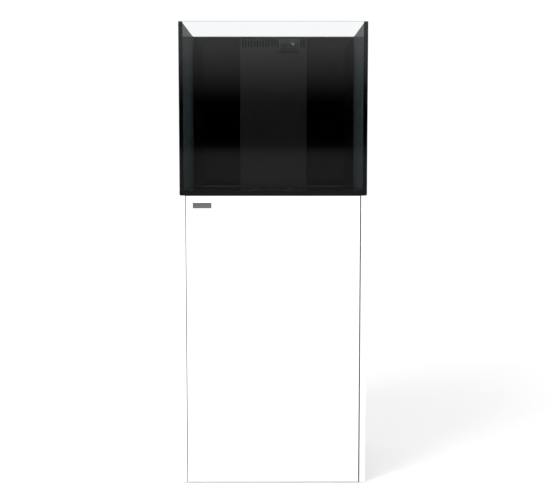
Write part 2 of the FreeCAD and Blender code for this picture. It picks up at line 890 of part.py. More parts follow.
def nozzle():
    """The return nozzle on its ball, and the socket on the end of the riser."""
    centre = Vector(return_x, ball_y, nozzle_z)
    ring = rod(socket_radius, socket_front + socket_back, centre - Y * socket_front, Y)
    ring = ring.cut(ball(ball_radius + ball_fit, centre))
    ring = ring.cut(rod(channel_radius, socket_back, centre, Y))
    save("nozzle_socket", ring)

    high = nozzle_z + nozzle_height / 2 - nozzle_drop
    low = high - nozzle_height
    rear = ball_y - nozzle_reach
    face = rear - nozzle_depth
    x0 = return_x - nozzle_width / 2
    x1 = return_x + nozzle_width / 2
    body = box(x0, x1, face, rear, low, high)
    body = rounded(rounded(body, nozzle_edge, Y), nozzle_front_edge, Z)
    big = Part.makePolygon([Vector(x, rear, z) for x, z in (
        (x0 + nozzle_edge, low + nozzle_edge), (x1 - nozzle_edge, low + nozzle_edge),
        (x1 - nozzle_edge, high - nozzle_edge), (x0 + nozzle_edge, high - nozzle_edge),
        (x0 + nozzle_edge, low + nozzle_edge))])
    n = neck_radius
    small = Part.makePolygon([Vector(return_x + x, rear + nozzle_taper, nozzle_z + z) for x, z in (
        (-n, -n), (n, -n), (n, n), (-n, n), (-n, -n))])
    taper = Part.makeLoft([big, small], True, True)
    neck = rod(neck_radius, nozzle_reach - ball_fit, centre, Y * -1)
    shape = joined([body, taper, neck, ball(ball_radius, centre)])
    reach = nozzle_reach + nozzle_depth - nozzle_face
    shape = shape.cut(rod(channel_radius, reach + ball_radius, centre + Y * ball_radius, Y * -1))
    mouth = box(return_x - nozzle_mouth_width / 2, return_x + nozzle_mouth_width / 2, face,
                face + nozzle_mouth_depth, low + nozzle_lip, low + nozzle_lip + nozzle_mouth_height)
    feed = box(return_x - channel_radius, return_x + channel_radius, face + nozzle_face,
               face + nozzle_mouth_depth, low + nozzle_lip, nozzle_z)
    save("return_nozzle", shape.cut(mouth).cut(feed))


def drain_valve():
    """Ball valve on the drain: the body, and the knob with its stem and ball in one."""
    centre = Vector(drain_x, pipe_y, valve_z)
    low = Vector(drain_x, pipe_y, valve_z - valve_half)
    body = joined([rod(valve_radius, 2 * valve_half, low, Z),
                   rod(valve_neck_radius, valve_neck, centre, Y * -1)])
    body = body.cut(rod(valve_port, 2 * valve_half, low, Z))
    body = body.cut(rod(pipe_radius, pipe_insert, low, Z))
    body = body.cut(rod(pipe_radius, pipe_insert, low + Z * (2 * valve_half - pipe_insert), Z))
    body = body.cut(ball(valve_ball_radius + valve_fit, centre))
    body = body.cut(rod(stem_radius + valve_fit, valve_neck, centre, Y * -1))
    save("drain_valve_body", body)

    hub_back = valve_neck + valve_gap
    plug = ball(valve_ball_radius, centre).cut(rod(valve_port, 2 * valve_half, low, Z))
    stem_start = centre - Y * math.sqrt(valve_ball_radius ** 2 - valve_port ** 2)
    stem = rod(stem_radius, hub_back - (centre - stem_start).Length, stem_start, Y * -1)
    hub = rod(knob_radius, knob_thickness, centre - Y * hub_back, Y * -1)
    lever_y = pipe_y - hub_back - knob_thickness
    lever = box(drain_x - lever_width / 2, drain_x + lever_width / 2, lever_y, lever_y + lever_thickness,
                valve_z, valve_z + lever_length)
    lever = rounded(lever, lever_corner, Y)
    save("valve_knob", joined([plug, stem, hub, lever]))


def sump():
    """The glass sump on its mat, its baffles and the filter cup in its holder."""
    g = sump_glass
    save("sump_mat", box(sump_left, sump_right, sump_front, sump_back, base_top, sump_low))
    save("sump_panes", [
        box(sump_left, sump_right, sump_front, sump_back, sump_low, sump_floor),
        box(sump_left, sump_right, sump_front, sump_front + g, sump_floor, sump_top),
        box(sump_left, sump_right, sump_back - g, sump_back, sump_floor, sump_top),
        box(sump_left, sump_left + g, sump_front + g, sump_back - g, sump_floor, sump_top),
        box(sump_right - g, sump_right, sump_front + g, sump_back - g, sump_floor, sump_top)])
    save("sump_baffles", [
        box(x, x + g, sump_front + g, sump_back - g, sump_floor, sump_floor + baffle_height)
        for x in (baffle_x, divider_x)])

    axis = Vector(drain_x, filter_y, holder_top)
    holder_right = emergency_x - pipe_radius - holder_clearance
    holder = box(drain_x - holder_side, holder_right, filter_y - holder_side, sump_back - g,
                 holder_top - holder_thickness, holder_top)
    holder = holder.cut(rod(filter_radius + filter_fit, holder_thickness, axis - Z * holder_thickness, Z))
    save("filter_holder", holder)
    flange_low_z = holder_top + filter_gap
    flange = rod(filter_radius + filter_flange, filter_flange_thickness,
                 Vector(drain_x, filter_y, flange_low_z), Z)
    bottom = Vector(drain_x, filter_y, flange_low_z - filter_depth)
    cup = joined([flange, rod(filter_radius, filter_depth, bottom, Z)])
    cup = cup.cut(rod(filter_radius - filter_wall, filter_depth + filter_flange_thickness,
                      bottom + Z * filter_wall, Z))
    for i in range(filter_holes):
        hole = rod(filter_hole_radius, 2 * filter_radius, bottom + Z * filter_hole_rise, X)
        hole.rotate(bottom, Z, full_turn / filter_holes * i)
        cup = cup.cut(hole)
    save("filter_cup", cup)


def pump():
    """The return pump in the sump's right chamber."""
    centre = Vector(return_x, volute_front, pump_z)
    half = pump_base_width / 2
    base = box(return_x - half, return_x + half, motor_front, volute_back,
               pump_floor, pump_floor + pump_base)
    pedestal = box(return_x - pump_pedestal_width / 2, return_x + pump_pedestal_width / 2,
                   motor_front, volute_back, pump_floor, pump_z)
    motor = rod(motor_radius, motor_length, Vector(return_x, motor_front, pump_z), Y)
    volute = rod(volute_radius, volute_length, centre, Y)
    outlet = rod(pipe_radius + outlet_wall, outlet_height, Vector(return_x, pipe_y, pump_z), Z)
    body = joined([base, pedestal, motor, volute, outlet])
    body = body.cut(rod(volute_radius - volute_wall, volute_length - volute_wall,
                        centre + Y * volute_wall, Y))
    body = body.cut(rod(pipe_bore, outlet_height, Vector(return_x, pipe_y, pump_z), Z))
    socket_low = pump_z + outlet_height - pipe_insert
    body = body.cut(rod(pipe_radius, pipe_insert, Vector(return_x, pipe_y, socket_low), Z))
    rotor_front = volute_front + volute_wall + impeller_gap
    rotor_length = volute_length - volute_wall - 2 * impeller_gap
    shaft_front = rotor_front - shaft_length
    shaft_start = Vector(return_x, shaft_front, pump_z)
    body = body.cut(rod(shaft_radius + pin_fit, shaft_length, shaft_start - Y * pin_fit, Y))
    save("pump_body", body)

    cover = rod(volute_radius, cover_thickness, Vector(return_x, volute_back, pump_z), Y)
    for i in range(cover_slots):
        x = return_x + (i - (cover_slots - 1) / 2) * cover_slot_pitch
        cover = cover.cut(box(x - cover_slot / 2, x + cover_slot / 2,
                              volute_back, volute_back + cover_thickness,
                              pump_z - cover_slot_height / 2, pump_z + cover_slot_height / 2))
    save("pump_intake_cover", cover)

    hub_start = Vector(return_x, rotor_front, pump_z)
    rotor = [rod(impeller_hub, rotor_length, hub_start, Y),
             rod(shaft_radius, shaft_length, shaft_start, Y)]
    for i in range(impeller_blades):
        blade = box(return_x - impeller_blade / 2, return_x + impeller_blade / 2, rotor_front,
                    rotor_front + rotor_length, pump_z, pump_z + impeller_radius)
        blade.rotate(hub_start, Y, full_turn / impeller_blades * i)
        rotor.append(blade)
    save("pump_impeller", joined(rotor))

    inset = pump_foot_inset
    save("pump_feet", [rod(pump_foot_radius, pump_foot_height, Vector(x, y, sump_floor), Z)
                       for x in (return_x - half + inset, return_x + half - inset)
                       for y in (motor_front + inset, volute_back - inset)])


def reservoir():
    """The top-up reservoir with its lid, and the float valve in the pump chamber."""
    w = reservoir_wall
    x0, x1 = reservoir_left, reservoir_right
    y0, y1 = reservoir_front, sump_back
    corner = reservoir_corner
    block = rounded(box(x0, x1, y0, y1, base_top, reservoir_top), corner, Z)
    hollow = rounded(box(x0 + w, x1 - w, y0 + w, y1 - w, base_top + w, reservoir_top), corner - w, Z)
    save("reservoir", block.cut(hollow))
    low = reservoir_top + lid_gap
    skirt = w + lid_side_gap
    cover = rounded(box(x0, x1, y0, y1, low, low + reservoir_lid), corner, Z)
    ring = box(x0 + skirt, x1 - skirt, y0 + skirt, y1 - skirt, low - reservoir_lip, low)
    ring = rounded(ring, corner - w, Z)
    inner = skirt + w
    ring = ring.cut(box(x0 + inner, x1 - inner, y0 + inner, y1 - inner, low - reservoir_lip, low))
    save("reservoir_lid", joined([cover, ring]))

    wall = sump_right - sump_glass
    block_left = wall - float_block
    pivot_y = float_y - ear_length / 2
    block = box(block_left, wall, float_y, float_y + float_block_depth,
                float_z - float_block_height / 2, float_z + float_block_height / 2)
    gap = 2 * float_side_gap + 2 * float_eye_radius - ear_thickness / 2
    ears = []
    for x in (block_left, block_left + ear_thickness + gap):
        ears.append(box(x, x + ear_thickness, float_y - ear_length, float_y,
                        float_z - ear_height / 2, float_z + ear_height / 2))
    pin = rod(float_pin_radius, gap + 2 * ear_thickness, Vector(block_left, pivot_y, float_z), X)
    save("float_valve_body", joined([block] + ears + [pin]))

    eye_x = block_left + ear_thickness + float_side_gap
    eye_width = gap - 2 * float_side_gap
    arm_x = eye_x + eye_width / 2
    eye = rod(float_eye_radius, eye_width, Vector(eye_x, pivot_y, float_z), X)
    bar = box(arm_x - eye_width / 2, arm_x + eye_width / 2, pivot_y - float_arm_length, pivot_y,
              float_z - float_arm_thickness / 2, float_z + float_arm_thickness / 2)
    bulb_foot = Vector(arm_x, pivot_y - float_arm_length, float_z - float_height / 2)
    arm = joined([eye, bar, rod(float_radius, float_height, bulb_foot, Z)])
    bore = rod(float_pin_radius + pin_fit, eye_width, Vector(eye_x, pivot_y, float_z), X)
    save("float_arm", arm.cut(bore))


os.makedirs("parts", exist_ok=True)
cabinet()
tank()
overflow()
plumbing()
nozzle()
drain_valve()
sump()
pump()
reservoir()
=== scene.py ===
"""A rimless glass aquarium with a black back, on a white cabinet with one door.

Metres, +Z up, the door faces -Y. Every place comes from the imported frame.
"""
import math

import bpy
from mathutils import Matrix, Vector

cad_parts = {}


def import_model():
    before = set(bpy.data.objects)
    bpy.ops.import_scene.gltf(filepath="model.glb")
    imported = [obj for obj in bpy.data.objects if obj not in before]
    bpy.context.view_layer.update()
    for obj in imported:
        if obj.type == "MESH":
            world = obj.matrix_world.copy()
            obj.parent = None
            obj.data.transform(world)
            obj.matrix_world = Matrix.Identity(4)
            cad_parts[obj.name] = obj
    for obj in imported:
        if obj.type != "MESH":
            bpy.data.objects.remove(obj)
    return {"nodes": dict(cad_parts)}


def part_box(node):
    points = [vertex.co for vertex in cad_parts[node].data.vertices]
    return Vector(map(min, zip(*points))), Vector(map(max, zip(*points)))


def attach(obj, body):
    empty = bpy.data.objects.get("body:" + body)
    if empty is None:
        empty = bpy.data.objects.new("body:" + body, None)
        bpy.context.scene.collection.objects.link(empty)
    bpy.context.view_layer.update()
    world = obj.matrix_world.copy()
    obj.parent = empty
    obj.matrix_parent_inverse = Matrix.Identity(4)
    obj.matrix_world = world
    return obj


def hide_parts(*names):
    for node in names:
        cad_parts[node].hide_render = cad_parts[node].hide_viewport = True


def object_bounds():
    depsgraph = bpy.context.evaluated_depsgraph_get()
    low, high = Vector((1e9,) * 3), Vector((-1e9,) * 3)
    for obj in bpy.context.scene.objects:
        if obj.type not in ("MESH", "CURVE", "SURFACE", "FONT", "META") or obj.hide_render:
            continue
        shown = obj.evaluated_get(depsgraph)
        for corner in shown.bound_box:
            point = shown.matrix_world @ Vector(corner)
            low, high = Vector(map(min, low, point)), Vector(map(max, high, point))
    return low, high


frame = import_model()
cad_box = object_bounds()
NODES = frame["nodes"]

LOW, HIGH = cad_box
FRONT_Y = LOW.y
RIM_Z = HIGH.z

# Camera: a long lens a little below the rim, looking slightly down
LENS = 70.62
CAMERA_BACK = 3.4834
CAMERA_HEIGHT = 1.1015
CAMERA_SIDE = 0.0064
CAMERA_PITCH = 5.438
CAMERA_YAW = 0.117
SENSOR_WIDTH = 36.0
SEEN_TO = 200.0

# Shaped pieces, in metres and degrees
FACES_ALONG = 0.9
ROUNDING_ANGLE = 30.0
BALL_FACES = (40, 24)
DRUM_FACES = 36
UP = (0.0, 0.0, 1.0)
RIGHT = (1.0, 0.0, 0.0)
FACING_FRONT = (math.radians(90.0), 0.0, 0.0)
BALL_RADIUS = 0.011
BALL_RISE = 0.023
NECK_RADIUS = 0.007
NOZZLE_DEPTH = 0.018
NOZZLE_WAIST = 0.012
NOZZLE_EDGE = 0.004
NOZZLE_LIP = 0.0025
NOZZLE_ROUNDING = 0.0011
MOUTH_HALF = 0.028
MOUTH_HEIGHT = 0.0055
MOUTH_DEPTH = 0.012
GROOVE_RISE = 0.0025
GROOVE_WIDTH = 0.005
GROOVE_DEPTH = 0.005
SCREW_RADIUS = 0.0052
SCREW_HEAD = 0.003
SCREW_ROUNDING = SCREW_HEAD / 3
SCREW_ROUNDING_ANGLE = 50.0
SCREW_RIM = SCREW_RADIUS / 3
SCREW_RECESS_WALL = SCREW_RADIUS / 30
SCREW_RECESS = SCREW_HEAD / 3
SCREW_ASIDE = 0.0118
SCREW_ABOVE = -0.001
BADGE_RIM = 0.0011
BADGE_SLOPE = 0.00025
BADGE_SUNK = 0.0003

# Tones: shares of light, red, green and blue
LAMINATE = (0.91, 0.91, 0.905)
LAMINATE_DEEP = (0.895, 0.895, 0.885)
PANE_TINT = (0.958, 0.967, 0.975)
PANE_EDGE = (0.755, 0.805, 0.79)
# A side pane seen along itself is painted over with painted shade, paler near the rim as painted light: its
# tones near the rim and below, how far below the rim it has faded to each, and the slants between which it
# turns from clear to the painted shade
SLANT_PAINTED_SHADE_HIGH = (0.058, 0.059, 0.059)
SLANT_PAINTED_SHADE_LOW = (0.034, 0.045, 0.046)
SLANT_FADE = (0.16, 0.0)
SLANT_FACING = (0.72, 0.9)
# The share that each pane mirrors
FRONT_MIRROR = 0.036
BACK_MIRROR = 0.029
SIDE_MIRROR = 0.04
SIDE_MIRROR_SLANTING = 0.3
MIRROR_POWER = 5.0
# How fast the silicone loses its shine as a face leans
LEANING = 1.5
WHITE = (1.0, 1.0, 1.0)
BLACK = (0.0, 0.0, 0.0)
# The film, through the glass, and its outer face painted paler as a painted sheen
FILM_FRONT = (0.0004, 0.0004, 0.0004)
FILM_SHEEN = (0.013, 0.013, 0.0135)
FILM_SHEEN_WORN = (0.019, 0.019, 0.0195)

# Floor: its tones near the cabinet, darker there as painted shade, and far off, and the distances between
# which it fades
FLOOR_PAINTED_SHADE = (0.89, 0.89, 0.89)
FLOOR_FAR = (0.97, 0.97, 0.97)
FLOOR_FADE = (1.0, 2.6)
FLOOR_SIZE = 60.0

# Light: an even white room, with a brighter lamp at the front left
AMBIENT = 1.05
ROOM_SEEN = 1.05
KEY_SIZE = 2.0
KEY_POWER = 115.0
KEY_PLACE = (-2.6, -3.4, 3.4)
KEY_TARGET = (0.0, 0.0, 0.6)
HALF = 0.5
# What a mirror shows at each height of its ray, from 0 straight down to 1 straight up
MIRRORED = (
    (0.02, 0.14), (0.4925, 0.125), (0.4971, 0.098), (0.4989, 0.06), (0.5002, 0.0),
    (0.5191, 0.0), (0.5227, 0.02), (0.5301, 0.115), (0.5391, 0.265), (0.5427, 0.335),
    (0.548, 0.375), (0.56, 0.42), (0.75, 0.9), (0.98, 1.0),
)


# ---------------------------------------------------------------- node helpers

class Finish:
    """A material under construction: its tree, its main shader and short ways to wire nodes."""

    def __init__(self, name, colour=(0.8, 0.8, 0.8), roughness=0.5):
        self.material = bpy.data.materials.new(name)
        self.material.use_nodes = True
        self.tree = self.material.node_tree
        self.shader = self.tree.nodes["Principled BSDF"]
        self.output = self.tree.nodes["Material Output"]
        self.set("Base Color", (*colour, 1.0))
        self.set("Roughness", roughness)

    def set(self, socket, value):
        """A plain value on the main shader."""
        self.shader.inputs[socket].default_value = value

    def node(self, kind, **values):
        """A new node, with its settings and plain inputs by name."""
        made = self.tree.nodes.new(kind)
        for key, value in values.items():
            if hasattr(made, key):
                setattr(made, key, value)
            else:
                made.inputs[key.replace("_", " ")].default_value = value
        return made

    def wire(self, source, target):
        """Joins an output to an input."""
        self.tree.links.new(source, target)

    def place(self, scale=(1.0, 1.0, 1.0)):
        """Object coordinates, stretched along the axes."""
        coordinates = self.node("ShaderNodeTexCoord")
        mapping = self.node("ShaderNodeMapping", Scale=scale)
        self.wire(coordinates.outputs["Object"], mapping.inputs["Vector"])
        return mapping.outputs["Vector"]

    def noise(self, scale, detail=3.0, roughness=0.5, stretch=(1.0, 1.0, 1.0)):
        """Noise in metres: scale is in grains to the metre."""
        noise = self.node("ShaderNodeTexNoise", Scale=scale, Detail=detail, Roughness=roughness)
        self.wire(self.place(stretch), noise.inputs["Vector"])
        return noise.outputs["Fac"]

    def ramp(self, source, low, high, start=0.0, end=1.0):
        """Maps start..end of a value onto low..high."""
        mapped = self.node("ShaderNodeMapRange")
        mapped.inputs["From Min"].default_value = start
        mapped.inputs["From Max"].default_value = end
        mapped.inputs["To Min"].default_value = low
        mapped.inputs["To Max"].default_value = high
        self.wire(source, mapped.inputs["Value"])
        return mapped.outputs["Result"]

    def math(self, operation, a, b=None):
        """One sum on outputs or plain numbers."""
        made = self.node("ShaderNodeMath", operation=operation)
        for slot, value in enumerate((a, b)):
            if value is None:
                continue
            if isinstance(value, (int, float)):
                made.inputs[slot].default_value = value
            else:
                self.wire(value, made.inputs[slot])
        return made.outputs[0]

    def blend(self, factor, a, b):
        """A colour between two colours, which may be plain or outputs."""
        mix = self.node("ShaderNodeMix", data_type="RGBA")
        self.wire(factor, mix.inputs["Factor"])
        for socket, value in (("A", a), ("B", b)):
            target = [s for s in mix.inputs if s.name == socket and s.type == "RGBA"][0]
            if isinstance(value, tuple):
                target.default_value = (*value, 1.0)
            else:
                self.wire(value, target)
        return [s for s in mix.outputs if s.type == "RGBA"][0]

    def colour(self, output):
        self.wire(output, self.shader.inputs["Base Color"])

    def rough(self, output):
        self.wire(output, self.shader.inputs["Roughness"])

    def bump(self, height, distance, strength=1.0):
        """Surface relief: distance is its depth in metres."""
        bump = self.node("ShaderNodeBump", Strength=strength, Distance=distance)
        self.wire(height, bump.inputs["Height"])
        self.wire(bump.outputs["Normal"], self.shader.inputs["Normal"])


# ------------------------------------------------------------------- materials

def white_laminate():
    """Melamine-faced board: near-white, satin, with a very fine pressed texture."""
    m = Finish("white_laminate", colour=LAMINATE, roughness=0.32)
    clouds = m.ramp(m.noise(scale=2.5, detail=4.0), low=0.0, high=1.0, start=0.35, end=0.65)
    m.colour(m.blend(clouds, LAMINATE, LAMINATE_DEEP))
    m.rough(m.ramp(m.noise(scale=60.0, detail=4.0), low=0.27, high=0.38, start=0.3, end=0.7))
    m.bump(m.noise(scale=1800.0, detail=2.0), distance=0.00003, strength=0.35)
    m.set("Specular IOR Level", 0.4)
    return m.material


def facing(m):
    """0 looking straight at the surface, 1 along it."""
    return m.node("ShaderNodeLayerWeight", Blend=0.5).outputs["Facing"]


def normal(m, axis):
    """The part of the surface's normal that lies along the axis."""
    geometry = m.node("ShaderNodeNewGeometry")
    split = m.node("ShaderNodeSeparateXYZ")
    m.wire(geometry.outputs["Normal"], split.inputs[0])
    return split.outputs[axis]


def across(m, axis):
    """1 on faces whose normal lies along the axis, 0 on the others."""
    return m.math("GREATER_THAN", m.math("ABSOLUTE", normal(m, axis)), FACES_ALONG)


def height(m):
    """Height above the floor in metres."""
    split = m.node("ShaderNodeSeparateXYZ")
    m.wire(m.place(), split.inputs[0])
    return split.outputs["Z"]


def float_glass(name, axis, square=0.04, slanting=0.96, painted_shade=False, edge=PANE_EDGE):
    """Clear float glass that lets light through, with paler edges. axis is the one its faces look along.
    A face mirrors the share square when it is seen squarely and slanting more when it is seen along itself.
    With painted_shade set, a pane seen along itself is covered by painted shade, a diffuse tone that is
    paler near the rim as painted light."""
    m = Finish(name)
    m.tree.nodes.remove(m.shader)
    clear = m.node("ShaderNodeBsdfTransparent")
    gloss = m.node("ShaderNodeBsdfGlossy", Roughness=0.0)
    gloss.inputs["Color"].default_value = (*WHITE, 1.0)
    shine = m.math("ADD", m.math("MULTIPLY", m.math("POWER", facing(m), MIRROR_POWER), slanting), square)
    m.wire(m.blend(across(m, axis), edge, PANE_TINT), clear.inputs["Color"])
    through = clear
    if painted_shade:
        # Painted shade: a diffuse tone that stands in for the pane seen along itself, paler near the rim as
        # painted light
        shade_slab = m.node("ShaderNodeBsdfDiffuse")
        deep, shallow = SLANT_FADE
        depth = m.ramp(height(m), low=0.0, high=1.0, start=RIM_Z - deep, end=RIM_Z - shallow)
        m.wire(m.blend(depth, SLANT_PAINTED_SHADE_LOW, SLANT_PAINTED_SHADE_HIGH), shade_slab.inputs["Color"])
        through = m.node("ShaderNodeMixShader")
        painted_shade_mask = m.ramp(facing(m), 0.0, 1.0, *SLANT_FACING)
        m.wire(m.math("MULTIPLY", painted_shade_mask, across(m, axis)), through.inputs[0])
        m.wire(clear.outputs[0], through.inputs[1])
        m.wire(shade_slab.outputs[0], through.inputs[2])
    mix = m.node("ShaderNodeMixShader")
    m.wire(shine, mix.inputs[0])
    m.wire(through.outputs[0], mix.inputs[1])
    m.wire(gloss.outputs[0], mix.inputs[2])
    m.wire(mix.outputs[0], m.output.inputs["Surface"])
    return m.material


def back_film():
    """Black vinyl on the back of the tank: dead black through the glass, and painted paler from behind as a
    painted sheen, with a random tone.
    """
    m = Finish("black_back_film", colour=FILM_FRONT, roughness=0.6)
    # Painted sheen: the outer face is painted paler, with a random tone, while the film's own shine is off
    behind = m.blend(m.noise(scale=12.0, detail=4.0), FILM_SHEEN, FILM_SHEEN_WORN)
    m.colour(m.blend(m.math("GREATER_THAN", normal(m, "Y"), FACES_ALONG), FILM_FRONT, behind))
    m.rough(m.ramp(m.noise(scale=40.0), low=0.5, high=0.7))
    m.bump(m.noise(scale=700.0, detail=2.0), distance=0.00004, strength=0.3)
    m.set("Specular IOR Level", 0.0)
    return m.material


def silicone():
    """Black silicone, smooth from the finger, with a slow waviness. Its leaning faces don't shine."""
    m = Finish("black_silicone", colour=(0.0008, 0.0008, 0.0008), roughness=0.2)
    m.rough(m.ramp(m.noise(scale=90.0), low=0.04, high=0.08))
    m.bump(m.noise(scale=120.0, detail=2.0), distance=0.00001, strength=0.1)
    m.set("Specular IOR Level", 0.8)
    leaning = m.math("MULTIPLY", m.math("ABSOLUTE", normal(m, "Z")), LEANING)
    m.wire(m.blend(leaning, WHITE, BLACK), m.shader.inputs["Specular Tint"])
    return m.material


def black_acrylic():
    """Cast black acrylic with faint polishing marks."""
    m = Finish("black_acrylic", colour=(0.0066, 0.0066, 0.0067), roughness=0.08)
    marks = m.noise(scale=220.0, detail=5.0, roughness=0.7)
    m.rough(m.ramp(marks, low=0.04, high=0.12, start=0.3, end=0.75))
    m.bump(m.noise(scale=400.0, detail=3.0), distance=0.00001, strength=0.2)
    m.set("Specular IOR Level", 0.6)
    return m.material


def nozzle_plastic():
    """Moulded black plastic, wet-smooth on the outside."""
    m = Finish("nozzle_plastic", colour=(0.0075, 0.0075, 0.0078), roughness=0.22)
    m.colour(m.blend(m.noise(scale=40.0), (0.0065, 0.0065, 0.0068), (0.009, 0.009, 0.0093)))
    m.rough(m.ramp(m.noise(scale=700.0), low=0.16, high=0.28))
    m.bump(m.noise(scale=1400.0, detail=2.0), distance=0.00003, strength=0.4)
    return m.material


def polished_steel():
    """Polished stainless steel with a few hairlines."""
    m = Finish("polished_steel", colour=(0.3, 0.3, 0.3), roughness=0.14)
    m.set("Metallic", 1.0)
    hairlines = m.noise(scale=900.0, detail=5.0, roughness=0.7)
    m.rough(m.ramp(hairlines, low=0.12, high=0.22, start=0.3, end=0.75))
    m.bump(m.noise(scale=2400.0, detail=2.0), distance=0.00001, strength=0.3)
    return m.material


def black_plastic():
    """Moulded black plastic with a fine spark-eroded grain."""
    m = Finish("black_plastic", colour=(0.018, 0.018, 0.019), roughness=0.42)
    m.colour(m.blend(m.noise(scale=25.0), (0.016, 0.016, 0.017), (0.024, 0.024, 0.025)))
    m.rough(m.ramp(m.noise(scale=900.0), low=0.34, high=0.5))
    m.bump(m.noise(scale=1500.0, detail=2.0), distance=0.00006, strength=0.5)
    return m.material


def grey_pipe():
    """Grey rigid PVC, slightly mottled."""
    m = Finish("grey_pipe", colour=(0.19, 0.195, 0.205), roughness=0.35)
    m.colour(m.blend(m.noise(scale=35.0, detail=4.0), (0.17, 0.175, 0.185), (0.215, 0.22, 0.23)))
    m.rough(m.ramp(m.noise(scale=300.0), low=0.28, high=0.46))
    m.bump(m.noise(scale=200.0, detail=3.0), distance=0.00005, strength=0.35)
    return m.material


def plated_steel():
    """Nickel-plated sheet steel with fine rolling lines."""
    m = Finish("plated_steel", colour=(0.62, 0.61, 0.59), roughness=0.3)
    m.set("Metallic", 1.0)
    lines = m.noise(scale=500.0, detail=4.0, roughness=0.6, stretch=(1.0, 1.0, 0.04))
    m.rough(m.ramp(lines, low=0.2, high=0.4, start=0.3, end=0.7))
    fine = m.noise(scale=900.0, detail=2.0, roughness=0.5, stretch=(1.0, 1.0, 0.05))
    m.bump(fine, distance=0.00002, strength=0.3)
    return m.material


def badge_metal():
    """Dark grey brushed plate, plain."""
    m = Finish("badge_metal", colour=(0.14, 0.14, 0.142), roughness=0.4)
    m.set("Metallic", 0.25)
    brushing = m.noise(scale=2600.0, detail=4.0, roughness=0.6, stretch=(0.02, 1.0, 1.0))
    m.colour(m.blend(brushing, (0.12, 0.12, 0.122), (0.158, 0.158, 0.16)))
    m.rough(m.ramp(brushing, low=0.32, high=0.5))
    m.bump(brushing, distance=0.00002, strength=0.4)
    return m.material


def black_foam():
    """Closed-cell foam: small round cells in its cut face."""
    m = Finish("black_foam", colour=(0.02, 0.02, 0.021), roughness=0.85)
    cells = m.node("ShaderNodeTexVoronoi", Scale=900.0)
    m.wire(m.place(), cells.inputs["Vector"])
    m.colour(m.blend(cells.outputs["Distance"], (0.010, 0.010, 0.011), (0.034, 0.034, 0.036)))
    m.bump(cells.outputs["Distance"], distance=0.0004, strength=0.8)
    return m.material


def black_rubber():
    """Matte moulded rubber."""
    m = Finish("black_rubber", colour=(0.015, 0.015, 0.015), roughness=0.7)
    m.rough(m.ramp(m.noise(scale=500.0), low=0.6, high=0.8))
    m.bump(m.noise(scale=1200.0), distance=0.00008, strength=0.5)
    return m.material


def frosted_plastic():
    """Milky moulded polypropylene."""
    m = Finish("frosted_plastic", colour=(0.78, 0.8, 0.81), roughness=0.45)
    m.colour(m.blend(m.noise(scale=18.0, detail=3.0), (0.74, 0.76, 0.775), (0.81, 0.825, 0.83)))
    m.rough(m.ramp(m.noise(scale=400.0), low=0.36, high=0.52))
    m.bump(m.noise(scale=700.0, detail=2.0), distance=0.00005, strength=0.4)
    m.set("Subsurface Weight", 0.25)
    m.set("Subsurface Radius", (0.006, 0.006, 0.006))
    return m.material


def clear_rubber():
    """Soft clear bumper."""
    m = Finish("clear_rubber", colour=(0.75, 0.76, 0.75), roughness=0.25)
    m.rough(m.ramp(m.noise(scale=600.0), low=0.2, high=0.34))
    m.bump(m.noise(scale=300.0), distance=0.00005, strength=0.3)
    m.set("Subsurface Weight", 0.3)
    return m.material


def red_plastic():
    """Glossy moulded red lever."""
    m = Finish("red_plastic", colour=(0.45, 0.02, 0.018), roughness=0.3)
    m.colour(m.blend(m.noise(scale=60.0), (0.40, 0.017, 0.015), (0.50, 0.025, 0.022)))
    m.rough(m.ramp(m.noise(scale=500.0), low=0.24, high=0.38))
    m.bump(m.noise(scale=500.0), distance=0.00004, strength=0.35)
    return m.material


def finish_nodes():
    """Gives every piece of the frame its material."""
    white = white_laminate()
    acrylic = black_acrylic()
    plastic = black_plastic()
    pipe = grey_pipe()
    steel = plated_steel()
    foam = black_foam()
    rubber = black_rubber()
    frosted = frosted_plastic()
    front_glass = float_glass("float_glass_front", "Y", FRONT_MIRROR)
    back_glass = float_glass("float_glass_back", "Y", BACK_MIRROR)
    side_glass = float_glass("float_glass_side", "X", SIDE_MIRROR, SIDE_MIRROR_SLANTING, painted_shade=True)
    floor_glass = float_glass("float_glass_floor", "Z")
    sump_glass = float_glass("float_glass_sump", "Z", edge=PANE_TINT)
    sets = {
        white: ("cabinet_left_side", "cabinet_right_side", "cabinet_base", "cabinet_top", "cabinet_back",
                "front_top_rail", "door"),
        front_glass: ("tank_front_pane",),
        back_glass: ("tank_back_pane",),
        side_glass: ("tank_left_pane", "tank_right_pane"),
        floor_glass: ("tank_bottom_pane",),
        sump_glass: ("sump_panes", "sump_baffles"),
        back_film(): ("tank_back_film",),
        silicone(): ("silicone_seams",),
        acrylic: ("overflow_box", "overflow_comb", "overflow_lid"),
        plastic: ("return_nozzle", "nozzle_socket", "glides", "cable_grommets", "latch_body", "pump_body",
                  "pump_intake_cover", "pump_impeller"),
        pipe: ("bulkheads", "bulkhead_nuts", "drain_standpipe", "emergency_standpipe", "return_riser",
               "drain_pipes", "emergency_pipe", "return_pipe", "drain_valve_body", "float_valve_body"),
        steel: ("hinge_plates", "hinge_arms", "hinge_cups", "hinge_pins", "angle_brackets", "strike_plate",
                "latch_spring", "hinge_screws", "cup_screws", "bracket_screws"),
        badge_metal(): ("door_badge",),
        foam: ("levelling_mat", "sump_mat"),
        rubber: ("bulkhead_gaskets", "pump_feet"),
        frosted: ("latch_plunger", "filter_cup", "filter_holder", "reservoir", "reservoir_lid",
                  "float_arm"),
        clear_rubber(): ("door_stops",),
        red_plastic(): ("valve_knob",),
    }
    for material, names in sets.items():
        for name in names:
            mesh = NODES[name].data
            mesh.materials.clear()
            mesh.materials.append(material)


# ------------------------------------------------------- modelling helpers

